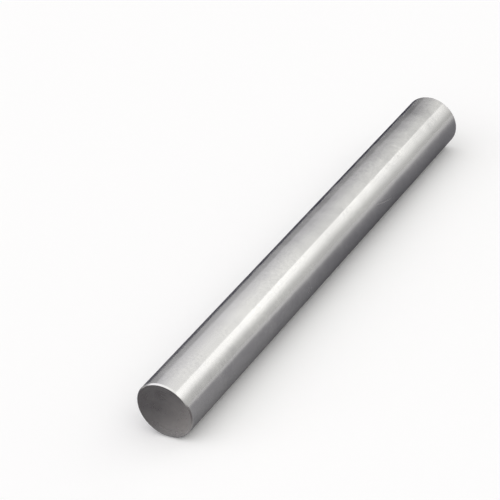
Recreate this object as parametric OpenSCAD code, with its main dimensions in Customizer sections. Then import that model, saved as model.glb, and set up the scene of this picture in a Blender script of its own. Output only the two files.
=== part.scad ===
// Round bar of stainless steel, lying on its side on a level floor.
// The axis runs along +Y, the resting line is at Z = 0 and the origin is under the middle of the bar.

/* [Bar] */
// Diameter of the bar
bar_d = 32; // [10:1:100]
// Length of the bar, over both ends
bar_len = 300; // [60:5:1000]

/* [Ends] */
// Width of the broken edge round each end face, measured along a radius
edge_w = 0.7; // [0.3:0.1:2]
// Slope of the broken edge, measured from the end face
edge_deg = 45; // [30:1:60]

/* [Hidden] */

bar_r = bar_d / 2;
// How far the broken edge reaches along the bar
edge_h = edge_w * tan(edge_deg);
// Segments round the bar in the preview mesh
TURN_FN = 180;

// Half of the bar's lengthways section, with the axis at X = 0 and the near end at Y = 0
module half_section() {
    polygon([
        [0, 0],
        [bar_r - edge_w, 0],
        [bar_r, edge_h],
        [bar_r, bar_len - edge_h],
        [bar_r - edge_w, bar_len],
        [0, bar_len]
    ]);
}

// The bar, turned from its half section, laid along Y and set down on the floor
module round_bar() {
    color([0.78, 0.77, 0.75])
        translate([0, -bar_len / 2, bar_r])
            rotate([-90, 0, 0])
                rotate_extrude($fn = TURN_FN)
                    half_section();
}

round_bar();
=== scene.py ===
import math

import bmesh
import bpy
from mathutils import Matrix, Vector


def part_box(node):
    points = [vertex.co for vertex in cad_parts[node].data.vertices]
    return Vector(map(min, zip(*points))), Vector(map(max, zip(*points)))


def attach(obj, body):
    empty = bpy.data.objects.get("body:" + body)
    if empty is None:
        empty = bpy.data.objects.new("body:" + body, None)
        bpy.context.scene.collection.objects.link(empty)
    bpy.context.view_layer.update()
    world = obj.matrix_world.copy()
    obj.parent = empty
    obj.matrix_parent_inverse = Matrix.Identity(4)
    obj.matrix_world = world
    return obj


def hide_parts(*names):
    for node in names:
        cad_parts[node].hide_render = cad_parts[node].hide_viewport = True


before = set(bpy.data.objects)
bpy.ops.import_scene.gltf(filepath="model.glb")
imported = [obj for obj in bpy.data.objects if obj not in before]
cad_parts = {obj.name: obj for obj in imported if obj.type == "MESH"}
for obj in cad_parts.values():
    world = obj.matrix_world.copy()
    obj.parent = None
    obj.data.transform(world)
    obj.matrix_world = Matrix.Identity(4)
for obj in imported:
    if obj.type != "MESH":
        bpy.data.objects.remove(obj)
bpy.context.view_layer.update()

# The bar, in metres, as the frame gives it
BAR_LOW, BAR_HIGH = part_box("round_bar")
BAR_R = (BAR_HIGH[2] - BAR_LOW[2]) / 2
BAR_LEN = BAR_HIGH[1] - BAR_LOW[1]
BAR_MID = Vector((0.0, (BAR_LOW[1] + BAR_HIGH[1]) / 2, BAR_LOW[2] + BAR_R))

# Broken edge round each end, and the radius that softens its two corners
EDGE_W = 0.0007
EDGE_ROUND = 0.0005
EDGE_ARC_STEPS = 6
# How far the rounding of a 45 degree corner reaches along both of its sides
EDGE_REACH = EDGE_ROUND * math.tan(math.radians(45 / 2))
# Distance from a rounded corner to the next ring, which keeps the corner's shading off the rest of the side
SHADE_STOP = 0.0001

# Facing grooves cut into the end faces by the tool's feed
GROOVE_PITCH = 0.00036
GROOVE_DEPTH = 0.000004

# Faces round the bar and along it
ROUND_STEPS = 288
LENGTH_STEPS = 60

# Kinds of surface on the bar, in the order of its materials
PARTS = ("side", "end", "edge")

# Camera, from the outlines in the photograph
PHOTO_PX = 500
CAMERA_AZIMUTH = math.radians(34.97)
CAMERA_ELEVATION = math.radians(31.63)
CAMERA_ROLL = math.radians(-9.18)
CAMERA_DISTANCE = 1.0807
CAMERA_FOCUS_PX = 1988.9
CAMERA_AIM = Vector((-0.0333, -0.0088, 0.016))
CAMERA_CLIP = (0.01, 50.0)
SENSOR = 36.0

# Steel at its darkest and lightest spots, and the least roughness on the side
STEEL_DARK = (0.635, 0.63, 0.63)
STEEL_LIGHT = (0.845, 0.84, 0.82)
LEAST_ROUGHNESS = 0.10
# A quarter turn from the marks of grinding and turning, because reflections spread across such marks
SPREAD_TURN = 0.25

# The middle of a noise pattern's values, which adds nothing
NOISE_MIDDLE = 0.5

# Noise on the ground side: repeats per metre along X, Y and Z, detail, roughness, and offset in the noise
SIDE_NOISE = {
    "marks": ((260, 420, 260), 4.0, 0.70),
    "bands": ((25, 110, 25), 2.0, 0.50),
    "lines": ((1500, 12, 1500), 2.0, 0.50),
    "clouds": ((70, 70, 70), 5.0, 0.62, (31.5, 6.7, 47.0)),
    "slow": ((22, 12, 22), 1.0, 0.50, (20.1, 4.4, 7.3)),
    "patches": ((48, 48, 48), 2.0, 0.50),
    "specks": ((650, 650, 650), 2.0, 0.50),
    "waves": ((60, 60, 60), 1.0, 0.40),
}
# Where the specks' patches begin and where they are full
PATCH_EDGE = (0.47, 0.60)
# Tone from the dark steel, 0, to the light steel, 1, and what each pattern adds to tone and roughness
SIDE_TONE = 0.69
SIDE_TONE_PARTS = {"clouds": 1.20, "slow": 1.20, "bands": 0.30, "marks": 0.60, "specks": 0.80, "lines": 0.15}
SIDE_ROUGH_PARTS = {"clouds": 0.36, "bands": 0.14, "marks": 0.24}
# How far the patterns are raised where they are 1
WAVES_HEIGHT = 0.00012
MARKS_HEIGHT = 0.00001

# Handling scratches on the round side: angle in degrees from +X towards +Z, place along the bar,
# slope in degrees from the bar's axis, and length
SCRATCHES = (
    (5.0, 0.0566, -17.0, 0.0190),
    (178.0, -0.0700, 35.0, 0.0110),
    (-150.0, 0.0250, 12.0, 0.0220),
    (-60.0, 0.0960, -52.0, 0.0070),
)
SCRATCH_W = 0.00040
# How far a scratch bends away from a straight line, as a factor of the square of the distance from its middle
SCRATCH_BEND = 6.0
# A scratch fades out from the first to the second share of its width and length, measured from its middle
SCRATCH_FADE = (0.2, 0.5)
SCRATCH_TONE = 1.20
SCRATCH_ROUGHNESS = 0.45
SCRATCH_HEIGHT = -0.00005

# Noise on the end faces and the broken edges
END_NOISE = {
    "clouds": ((170, 170, 170), 4.0, 0.55),
    "grain": ((1400, 1400, 1400), 2.0, 0.50),
}
# The tool's rings: noise by the distance from the middle, which also changes a little on the way round
RINGS_PER_METRE = 1500.0
RINGS_DRIFT = (1.6, 1.6, 1.6)
RINGS_DETAIL = 3.0
RINGS_NOISE_ROUGHNESS = 0.6
END_TONE = 0.5
END_TONE_PARTS = {"clouds": 0.90, "rings": 0.70, "grain": 0.30}
END_ROUGH_PARTS = {"clouds": 0.15, "rings": 0.15}
RINGS_HEIGHT = 0.000012
GRAIN_HEIGHT = 0.000008

# The studio, by direction. A step holds where it starts and stops, and the values before and after it, which
# are 0 and 1 where it has only two numbers. It goes by the direction's own Y or Z where its name ends in that
# letter, and otherwise by its turn, the angle in degrees round the bar's axis from +X over the top.

# Where the middle and the far part of the room begin, and where the far part fades again
MIDDLE_Y = (0.683, 0.712)
FAR_Y = (0.758, 0.787)
FAR_STOP_Y = (0.85, 0.93, 1.0, 0.20)

# Ceiling and left wall, which darken to the left
CEILING = (84, 150, 1.04, 0.76)
LEFT_WALL = (141, 153, 1.0, 0.62)
LEFT_FOOT = (158, 178, 1.0, 0.85)
# Shares taken from both: at the foot of the far part, to the back, and a little in front
LEFT_FAR_FOOT = (140, 165, 0.0, 0.22)
LEFT_BACK = (60, 150, 0.33, 0.60)
LEFT_BACK_MIDDLE = 0.53
LEFT_BACK_FAR = 0.72
LEFT_FRONT_Y = (0.655, 0.675, 1.0, 0.0)
LEFT_FRONT = (95, 135, 0.0, 0.10)

# Right wall, and what the middle and the far part add to it
RIGHT_WALL = (-30, 25, 0.42, 0.62)
RIGHT_MIDDLE = (-12, 10, 0.0, 0.065)
RIGHT_FAR = -0.04

# Strip light above the right wall: the turns where it starts and where it is full, each in front and from the
# middle on, its level, the shares that the middle and the far part take from it, and the line that makes it
# brighter along its left side from the middle on
STRIP_START = (16.5, 8.0)
STRIP_STOP = (51.0, 53.0)
STRIP_LEVEL = 0.75
STRIP_LESS_MIDDLE = 0.12
STRIP_LESS_FAR = 1.00
STRIP_LINE = (49, 62, 0.0, 0.10)

# Where the strip light ends against the ceiling, and how many degrees the back moves that to the left
SEAM = (61, 64)
SEAM_MIDDLE = 3.0
SEAM_FAR = 1.4

# Share that a dark end wall takes from all this, low down at the back
END_WALL_START_Y = (0.79, 0.84, 0.0, 0.70)
END_WALL_STOP_Y = (0.87, 0.93, 1.0, 0.0)
END_WALL_TOP_Z = (0.10, 0.24, 1.0, 0.0)

# Lamp in front on the left, with the cosines at its outer and inner edge
LAMP_FROM = (-0.5, -0.5, 0.7)
LAMP_EDGE = (0.70, 0.90)
LAMP_LEVEL = 1.20

# Colour of the light on the right and on the left, and the turns between which it changes
TINT_TURN = (70, 150)
TINT_RIGHT = (1.0, 0.995, 0.980)
TINT_LEFT = (1.0, 0.990, 1.020)

# White floor, a hair below the grey card, which is a hair below the bar
FLOOR_HALF = 10.0
FLOOR_Z = -0.0002
FLOOR_COLOUR = (0.98, 0.98, 0.98)

# Grey card, with light and shade painted on it; its steps go by the place in metres along X or Y, whichever
# the name ends in
CARD_HALF = 2.5
CARD_Z = -0.0001
# Tone of the open card, with painted light: lighter towards the bar's front, a lighter foot just in front of
# its end, and lighter to the right
CARD_GROUND_Y = (-0.15, 0.05, 0.29, 0.19)
CARD_LIGHT_FOOT_Y = (-0.165, -0.154, 0.0, 0.06)
CARD_LIGHT_FOOT_STOP_Y = (-0.150, -0.147, 1.0, 0.0)
CARD_LIGHT_RIGHT_X = (0.01, 0.18)
CARD_LIGHT_RIGHT_Y = (-0.10, 0.10, 0.10, 0.38)
# Painted shadow darker from the bar to the left, lighter again far to the left, and painted shade in a darker
# corner at the bar's front right
CARD_SHADOW_EDGE_X = (-0.02, 0.01)
CARD_SHADOW_Y = (-0.175, -0.152, 0.30, 0.47)
CARD_SHADOW_BACK_Y = (0.10, 0.20, 1.0, 0.6)
CARD_FAR_LEFT_X = (-0.40, -0.12, 1.5, 0.36)
CARD_FAR_LEFT_Y = (0.10, 0.20, 1.0, 0.3)
CARD_SHADE_CORNER_X = (0.010, 0.022)
CARD_SHADE_CORNER_Y = (-0.162, -0.150, 0.50, 0.0)
# Colour for a tone: its shares of green and blue, a little blue added, and warmer in front of the bar, with
# more red and less blue
CARD_FRONT_Y = (-0.160, -0.145, 1.0, 0.0)
CARD_RED_FRONT = 0.045
CARD_GREEN = 0.992
CARD_BLUE = 0.97
CARD_BLUE_ADDED = 0.020
CARD_BLUE_FRONT = -0.013


def arc_points(centre, radius, start, stop, steps):
    """Points (r, y) on an arc, angles in degrees from the +r direction towards +y."""
    points = []
    for i in range(steps + 1):
        a = math.radians(start + (stop - start) * i / steps)
        points.append((centre[0] + radius * math.cos(a), centre[1] + radius * math.sin(a)))
    return points


def face_profile():
    """Points (r, depth) over one end face from its middle to the broken edge, with the facing grooves."""
    flat_r = BAR_R - EDGE_W - EDGE_REACH
    count = int(flat_r / GROOVE_PITCH)
    pitch = flat_r / count
    points = [(0.0, 0.0)]
    for i in range(count):
        points.append(((i + 0.5) * pitch, GROOVE_DEPTH))
        points.append(((i + 1.0) * pitch, 0.0))
    return points[:-1]


def edge_profile():
    """Points (r, depth) over the broken edge, from the face to the round surface."""
    inner = (BAR_R - EDGE_W - EDGE_REACH, EDGE_ROUND)
    outer = (BAR_R - EDGE_ROUND, EDGE_W + EDGE_REACH)
    points = arc_points(inner, EDGE_ROUND, -90, -45, EDGE_ARC_STEPS)
    points += arc_points(outer, EDGE_ROUND, -45, 0, EDGE_ARC_STEPS)
    return points


def bar_profile():
    """The whole half section as (r, y, part), from the middle of one end face to the other's."""
    face = [(r, depth, "end") for r, depth in face_profile()]
    edge = [(r, depth, "edge") for r, depth in edge_profile()]
    half = face + edge
    y0 = -BAR_LEN / 2
    first = [(r, y0 + depth, part) for r, depth, part in half]
    last = [(r, -y0 - depth, part) for r, depth, part in reversed(half)]
    start = first[-1][1] + SHADE_STOP
    stop = last[0][1] - SHADE_STOP
    side = []
    for i in range(LENGTH_STEPS + 1):
        side.append((BAR_R, start + (stop - start) * i / LENGTH_STEPS, "side"))
    return first + side + last


def ring(bm, r, y):
    """One ring of vertices round the bar's axis, or a single vertex on it."""
    if r == 0.0:
        return [bm.verts.new((BAR_MID.x, BAR_MID.y + y, BAR_MID.z))]
    verts = []
    for k in range(ROUND_STEPS):
        a = 2 * math.pi * k / ROUND_STEPS
        place = (BAR_MID.x + r * math.cos(a), BAR_MID.y + y, BAR_MID.z + r * math.sin(a))
        verts.append(bm.verts.new(place))
    return verts


def join_rings(bm, a, b, material):
    """Faces between two neighbouring rings, either of which may be a single vertex."""
    for k in range(ROUND_STEPS):
        n = (k + 1) % ROUND_STEPS
        if len(a) == 1:
            corners = (a[0], b[n], b[k])
        elif len(b) == 1:
            corners = (a[k], a[n], b[0])
        else:
            corners = (a[k], a[n], b[n], b[k])
        f = bm.faces.new(corners)
        f.smooth = True
        f.material_index = material


def part_between(a, b):
    """The part that the faces between two rings belong to."""
    if "side" in (a, b):
        return "side"
    if "edge" in (a, b):
        return "edge"
    return "end"


def make_bar():
    """The bar as one turned mesh."""
    bm = bmesh.new()
    profile = bar_profile()
    rings = [ring(bm, r, y) for r, y, part in profile]
    for i in range(len(profile) - 1):
        part = part_between(profile[i][2], profile[i + 1][2])
        join_rings(bm, rings[i], rings[i + 1], PARTS.index(part))
    bmesh.ops.recalc_face_normals(bm, faces=bm.faces)
    mesh = bpy.data.meshes.new("bar")
    bm.to_mesh(mesh)
    bm.free()
    obj = bpy.data.objects.new("bar", mesh)
    bpy.context.scene.collection.objects.link(obj)
    return obj


class Nodes:
    """A short way to write node trees."""

    def __init__(self, tree):
        self.tree = tree
        tree.nodes.clear()

    def add(self, kind, **settings):
        node = self.tree.nodes.new(kind)
        for key, value in settings.items():
            setattr(node, key, value)
        return node

    def link(self, source, target):
        self.tree.links.new(source, target)

    def put(self, socket, value):
        """Sets a socket to a value or links it to another socket."""
        if isinstance(value, bpy.types.NodeSocket):
            self.link(value, socket)
        else:
            socket.default_value = value

    def math(self, operation, a, b=0.0):
        node = self.add("ShaderNodeMath", operation=operation)
        self.put(node.inputs[0], a)
        self.put(node.inputs[1], b)
        return node.outputs[0]

    def plus(self, a, b):
        return self.math("ADD", a, b)

    def minus(self, a, b):
        return self.math("SUBTRACT", a, b)

    def times(self, a, b):
        return self.math("MULTIPLY", a, b)

    def dimmed(self, value, share):
        """value with this share of it taken away."""
        return self.times(value, self.minus(1.0, share))

    def vector(self, operation, *values):
        """The node of a vector operation on these values."""
        node = self.add("ShaderNodeVectorMath", operation=operation)
        for socket, value in zip(node.inputs, values):
            self.put(socket, value)
        return node

    def split(self, vector):
        """The X, Y and Z of a vector."""
        node = self.add("ShaderNodeSeparateXYZ")
        self.link(vector, node.inputs[0])
        return node.outputs["X"], node.outputs["Y"], node.outputs["Z"]

    def step(self, value, start, stop, low=0.0, high=1.0):
        """low up to start, high from stop on, smooth between them."""
        node = self.add("ShaderNodeMapRange", interpolation_type="SMOOTHSTEP")
        names = ("Value", "From Min", "From Max", "To Min", "To Max")
        for name, entry in zip(names, (value, start, stop, low, high)):
            self.put(node.inputs[name], entry)
        return node.outputs["Result"]

    def mix(self, factor, a, b):
        """A number from a, where factor is 0, to b, where it is 1."""
        node = self.add("ShaderNodeMix", data_type="FLOAT")
        self.put(node.inputs[0], factor)
        self.put(node.inputs[2], a)
        self.put(node.inputs[3], b)
        return node.outputs[0]

    def mix_colour(self, factor, a, b):
        """A colour from a, where factor is 0, to b, where it is 1."""
        node = self.add("ShaderNodeMix", data_type="RGBA")
        self.put(node.inputs[0], factor)
        node.inputs[6].default_value = (*a, 1.0)
        node.inputs[7].default_value = (*b, 1.0)
        return node.outputs[2]

    def noise(self, vector, repeats, detail, roughness, offset=(0.0, 0.0, 0.0)):
        """Noise at vector times repeats plus offset, so repeats counts per unit along X, Y and Z."""
        node = self.add("ShaderNodeTexNoise")
        scaled = self.vector("MULTIPLY_ADD", vector, repeats, offset)
        self.link(scaled.outputs["Vector"], node.inputs["Vector"])
        node.inputs["Scale"].default_value = 1.0
        node.inputs["Detail"].default_value = detail
        node.inputs["Roughness"].default_value = roughness
        return node.outputs["Fac"]


def steel(name, roughness, anisotropy, add_details):
    """A bare steel material; add_details gives it what varies over the surface."""
    material = bpy.data.materials.new(name)
    material.use_nodes = True
    n = Nodes(material.node_tree)
    out = n.add("ShaderNodeOutputMaterial")
    shader = n.add("ShaderNodeBsdfPrincipled")
    n.link(shader.outputs[0], out.inputs["Surface"])
    shader.inputs["Metallic"].default_value = 1.0
    shader.inputs["Anisotropic"].default_value = anisotropy
    shader.inputs["Anisotropic Rotation"].default_value = SPREAD_TURN
    tangent = n.add("ShaderNodeTangent", direction_type="RADIAL", axis="Y")
    n.link(tangent.outputs[0], shader.inputs["Tangent"])
    place = n.add("ShaderNodeTexCoord").outputs["Object"]
    add_details(n, shader, place, roughness)
    return material


def sum_of(n, base, patterns, weights):
    """base plus, for each weight, how far the pattern of that name is from its middle times the weight."""
    total = base
    for name, weight in weights.items():
        total = n.plus(total, n.times(n.minus(patterns[name], NOISE_MIDDLE), weight))
    return total


def bump(n, height, distance, normal=None):
    """A normal with one more pattern raised on it, distance high where height is 1."""
    node = n.add("ShaderNodeBump")
    node.inputs["Distance"].default_value = distance
    n.put(node.inputs["Height"], height)
    if normal is not None:
        n.link(normal, node.inputs["Normal"])
    return node.outputs[0]


def scratch(n, around, along, spec):
    """1 in one scratch and 0 off it; around is the arc length from +X and along the place on the axis."""
    angle, y, slope, length = spec
    c, s = math.cos(math.radians(slope)), math.sin(math.radians(slope))
    u = n.minus(around, math.radians(angle) * BAR_R)
    v = n.minus(along, y)
    lengthwise = n.plus(n.times(v, c), n.times(u, s))
    across = n.minus(n.times(u, c), n.times(v, s))
    bend = n.times(n.times(lengthwise, lengthwise), SCRATCH_BEND)
    off_line = n.math("ABSOLUTE", n.minus(across, bend))
    off_middle = n.math("ABSOLUTE", lengthwise)
    fade_start, fade_stop = SCRATCH_FADE
    line = n.step(off_line, fade_start * SCRATCH_W, fade_stop * SCRATCH_W, 1.0, 0.0)
    ends = n.step(off_middle, fade_start * length, fade_stop * length, 1.0, 0.0)
    return n.times(line, ends)


def all_scratches(n, place):
    """1 in the scratches and 0 off them."""
    x, y, z = n.split(place)
    angle = n.math("ARCTAN2", n.minus(z, BAR_MID.z), n.minus(x, BAR_MID.x))
    around = n.times(angle, BAR_R)
    total = 0.0
    for spec in SCRATCHES:
        total = n.math("MAXIMUM", total, scratch(n, around, y, spec))
    return total


def side_details(n, shader, place, roughness):
    """The ground side: marks round the bar, faint lines along it, clouds, a slow change, specks in patches,
    slight waves and scratches."""
    patterns = {name: n.noise(place, *spec) for name, spec in SIDE_NOISE.items()}
    patches = n.step(patterns["patches"], *PATCH_EDGE)
    patterns["specks"] = n.mix(patches, NOISE_MIDDLE, patterns["specks"])
    scratched = all_scratches(n, place)

    tone = sum_of(n, SIDE_TONE, patterns, SIDE_TONE_PARTS)
    tone = n.plus(tone, n.times(scratched, SCRATCH_TONE))
    n.link(n.mix_colour(tone, STEEL_DARK, STEEL_LIGHT), shader.inputs["Base Color"])
    rough = sum_of(n, roughness, patterns, SIDE_ROUGH_PARTS)
    rough = n.math("MAXIMUM", rough, LEAST_ROUGHNESS)
    rough = n.plus(rough, n.times(scratched, SCRATCH_ROUGHNESS))
    n.link(rough, shader.inputs["Roughness"])
    normal = bump(n, patterns["waves"], WAVES_HEIGHT)
    normal = bump(n, patterns["marks"], MARKS_HEIGHT, normal)
    normal = bump(n, scratched, SCRATCH_HEIGHT, normal)
    n.link(normal, shader.inputs["Normal"])


def tool_rings(n, place):
    """Noise in rings round the middle of an end face."""
    from_middle = n.vector("SUBTRACT", place, BAR_MID).outputs["Vector"]
    flat = n.vector("MULTIPLY", from_middle, (1, 0, 1)).outputs["Vector"]
    radius = n.vector("LENGTH", flat).outputs["Value"]
    unit = n.vector("NORMALIZE", flat).outputs["Vector"]
    outward = n.add("ShaderNodeCombineXYZ")
    n.put(outward.inputs["Y"], n.times(radius, RINGS_PER_METRE))
    return n.noise(unit, RINGS_DRIFT, RINGS_DETAIL, RINGS_NOISE_ROUGHNESS, outward.outputs["Vector"])


def end_details(n, shader, place, roughness):
    """A faced end and its broken edge: rings from the tool round the middle, clouds and grain."""
    patterns = {name: n.noise(place, *spec) for name, spec in END_NOISE.items()}
    patterns["rings"] = tool_rings(n, place)

    tone = sum_of(n, END_TONE, patterns, END_TONE_PARTS)
    n.link(n.mix_colour(tone, STEEL_DARK, STEEL_LIGHT), shader.inputs["Base Color"])
    rough = sum_of(n, roughness, patterns, END_ROUGH_PARTS)
    n.link(rough, shader.inputs["Roughness"])
    normal = bump(n, patterns["rings"], RINGS_HEIGHT)
    normal = bump(n, patterns["grain"], GRAIN_HEIGHT, normal)
    n.link(normal, shader.inputs["Normal"])


def left_light(n, y, turn, middle, far):
    """Light of the ceiling and the left wall."""
    light = n.step(turn, *CEILING)
    light = n.times(light, n.step(turn, *LEFT_WALL))
    light = n.times(light, n.step(turn, *LEFT_FOOT))
    light = n.dimmed(light, n.times(far, n.step(turn, *LEFT_FAR_FOOT)))
    back = n.plus(n.times(middle, LEFT_BACK_MIDDLE), n.times(far, LEFT_BACK_FAR))
    dim_back = n.times(back, n.step(turn, *LEFT_BACK))
    dim_front = n.times(n.step(y, *LEFT_FRONT_Y), n.step(turn, *LEFT_FRONT))
    return n.dimmed(light, n.plus(dim_back, dim_front))


def right_light(n, turn, middle, far):
    """Light of the right wall and the strip light above it."""
    wall = n.plus(n.step(turn, *RIGHT_WALL), n.times(far, RIGHT_FAR))
    wall = n.plus(wall, n.times(middle, n.step(turn, *RIGHT_MIDDLE)))
    strip = n.step(turn, n.mix(middle, *STRIP_START), n.mix(middle, *STRIP_STOP), 0.0, STRIP_LEVEL)
    taken = n.plus(n.times(middle, STRIP_LESS_MIDDLE), n.times(far, STRIP_LESS_FAR))
    line = n.times(middle, n.step(turn, *STRIP_LINE))
    return n.plus(wall, n.plus(n.dimmed(strip, taken), line))


def studio_light(n, direction, y, z, turn):
    """Strength of the studio's light from each direction."""
    middle = n.step(y, *MIDDLE_Y)
    far = n.times(n.step(y, *FAR_Y), n.step(y, *FAR_STOP_Y))
    moved = n.plus(n.times(middle, SEAM_MIDDLE), n.times(far, SEAM_FAR))
    right = right_light(n, turn, middle, far)
    left = left_light(n, y, turn, middle, far)
    light = n.mix(n.step(n.minus(turn, moved), *SEAM), right, left)

    end_wall = n.times(n.step(y, *END_WALL_START_Y), n.step(y, *END_WALL_STOP_Y))
    end_wall = n.times(end_wall, n.step(z, *END_WALL_TOP_Z))
    light = n.dimmed(light, end_wall)
    cosine = n.vector("DOT_PRODUCT", direction, Vector(LAMP_FROM).normalized()).outputs["Value"]
    return n.mix(n.step(cosine, *LAMP_EDGE), light, LAMP_LEVEL)


def studio_world():
    """A studio as a world: bands of light that run along the bar, and a lamp in front."""
    world = bpy.data.worlds.new("studio")
    world.use_nodes = True
    n = Nodes(world.node_tree)
    out = n.add("ShaderNodeOutputWorld")
    background = n.add("ShaderNodeBackground")
    n.link(background.outputs[0], out.inputs["Surface"])
    direction = n.add("ShaderNodeTexCoord").outputs["Generated"]
    x, y, z = n.split(direction)
    turn = n.math("DEGREES", n.math("ARCTAN2", z, x))
    n.link(studio_light(n, direction, y, z, turn), background.inputs["Strength"])
    tint = n.mix_colour(n.step(turn, *TINT_TURN), TINT_RIGHT, TINT_LEFT)
    n.link(tint, background.inputs["Color"])
    bpy.context.scene.world = world


def level_square(name, half, z):
    """A level square of the stage at a height z, reaching half its width to each side of the origin."""
    bm = bmesh.new()
    signs = ((-1, -1), (1, -1), (1, 1), (-1, 1))
    bm.faces.new([bm.verts.new((sx * half, sy * half, z)) for sx, sy in signs])
    mesh = bpy.data.meshes.new(name)
    bm.to_mesh(mesh)
    bm.free()
    obj = bpy.data.objects.new(name, mesh)
    bpy.context.scene.collection.objects.link(obj)
    return obj


def matt_material(obj):
    """Gives obj a diffuse material, and returns its nodes and its colour socket."""
    material = bpy.data.materials.new(obj.name)
    material.use_nodes = True
    n = Nodes(material.node_tree)
    out = n.add("ShaderNodeOutputMaterial")
    shader = n.add("ShaderNodeBsdfDiffuse")
    n.link(shader.outputs[0], out.inputs["Surface"])
    obj.data.materials.append(material)
    return n, shader.inputs["Color"]


def make_floor():
    """The white floor, which keeps the bar's shadow."""
    floor = level_square("floor", FLOOR_HALF, FLOOR_Z)
    n, colour = matt_material(floor)
    colour.default_value = (*FLOOR_COLOUR, 1.0)


def card_grey_with_painted_light(n, x, y):
    """How light the grey card is at a place, with the painted light and painted shade on it."""
    # Painted light: lighter towards the bar's front end, and in a foot just in front of it
    foot = n.times(n.step(y, *CARD_LIGHT_FOOT_Y), n.step(y, *CARD_LIGHT_FOOT_STOP_Y))
    ground = n.plus(n.step(y, *CARD_GROUND_Y), foot)
    # Painted light to the right of the bar
    right = n.times(n.step(x, *CARD_LIGHT_RIGHT_X), n.step(y, *CARD_LIGHT_RIGHT_Y))
    # Painted shadow to the left of the bar, lighter again far to the left
    painted_shadow_left = n.times(n.step(y, *CARD_SHADOW_Y), n.step(y, *CARD_SHADOW_BACK_Y))
    far_left = n.times(n.step(x, *CARD_FAR_LEFT_X), n.step(y, *CARD_FAR_LEFT_Y))
    left = n.math("MAXIMUM", n.step(x, *CARD_SHADOW_EDGE_X, painted_shadow_left, 1.0), far_left)
    # Painted shade in the corner at the bar's front right
    corner = n.times(n.step(x, *CARD_SHADE_CORNER_X), n.step(y, *CARD_SHADE_CORNER_Y))
    return n.dimmed(n.times(n.plus(ground, right), left), corner)


def make_card():
    """A grey card on the floor that only reflections see, with light and shade painted on it."""
    card = level_square("grey_card", CARD_HALF, CARD_Z)
    n, colour = matt_material(card)
    x, y = n.split(n.add("ShaderNodeTexCoord").outputs["Object"])[:2]
    # Tone with painted light and painted shade
    tone = card_grey_with_painted_light(n, x, y)
    front = n.step(y, *CARD_FRONT_Y)
    tint = n.add("ShaderNodeCombineColor")
    n.put(tint.inputs["Red"], n.times(tone, n.plus(n.times(front, CARD_RED_FRONT), 1.0)))
    n.put(tint.inputs["Green"], n.times(tone, CARD_GREEN))
    added = n.plus(n.times(front, CARD_BLUE_FRONT), CARD_BLUE_ADDED)
    n.put(tint.inputs["Blue"], n.plus(n.times(tone, CARD_BLUE), added))
    n.link(tint.outputs[0], colour)
    card.visible_camera = False
    card.visible_diffuse = False
    card.visible_transmission = False
    card.visible_volume_scatter = False
    card.visible_shadow = False


def make_camera():
    """The camera at the photograph's place, rolled as the photograph is."""
    back = Vector((
        math.sin(CAMERA_AZIMUTH) * math.cos(CAMERA_ELEVATION),
        -math.cos(CAMERA_AZIMUTH) * math.cos(CAMERA_ELEVATION),
        math.sin(CAMERA_ELEVATION),
    ))
    level_right = (-back).cross(Vector((0, 0, 1))).normalized()
    level_up = level_right.cross(-back)
    c, s = math.cos(CAMERA_ROLL), math.sin(CAMERA_ROLL)
    right = level_right * c + level_up * s
    up = level_up * c - level_right * s
    data = bpy.data.cameras.new("camera")
    data.sensor_width = SENSOR
    data.lens = CAMERA_FOCUS_PX / PHOTO_PX * SENSOR
    data.clip_start, data.clip_end = CAMERA_CLIP
    camera = bpy.data.objects.new("camera", data)
    turn = Matrix((right, up, back)).transposed()
    camera.matrix_world = Matrix.Translation(CAMERA_AIM + back * CAMERA_DISTANCE) @ turn.to_4x4()
    bpy.context.scene.collection.objects.link(camera)
    bpy.context.scene.camera = camera


# Material name, roughness, anisotropy and details of each part of the bar
FINISHES = {
    "side": ("ground_steel", 0.16, 0.8, side_details),
    "end": ("faced_steel", 0.3, 0.3, end_details),
    "edge": ("edge_steel", 0.2, 0.3, end_details),
}

make_camera()
studio_world()
make_floor()
make_card()
bar = make_bar()
for part in PARTS:
    bar.data.materials.append(steel(*FINISHES[part]))
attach(bar, "root")
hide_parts("round_bar")

bpy.context.scene.view_settings.view_transform = "Standard"
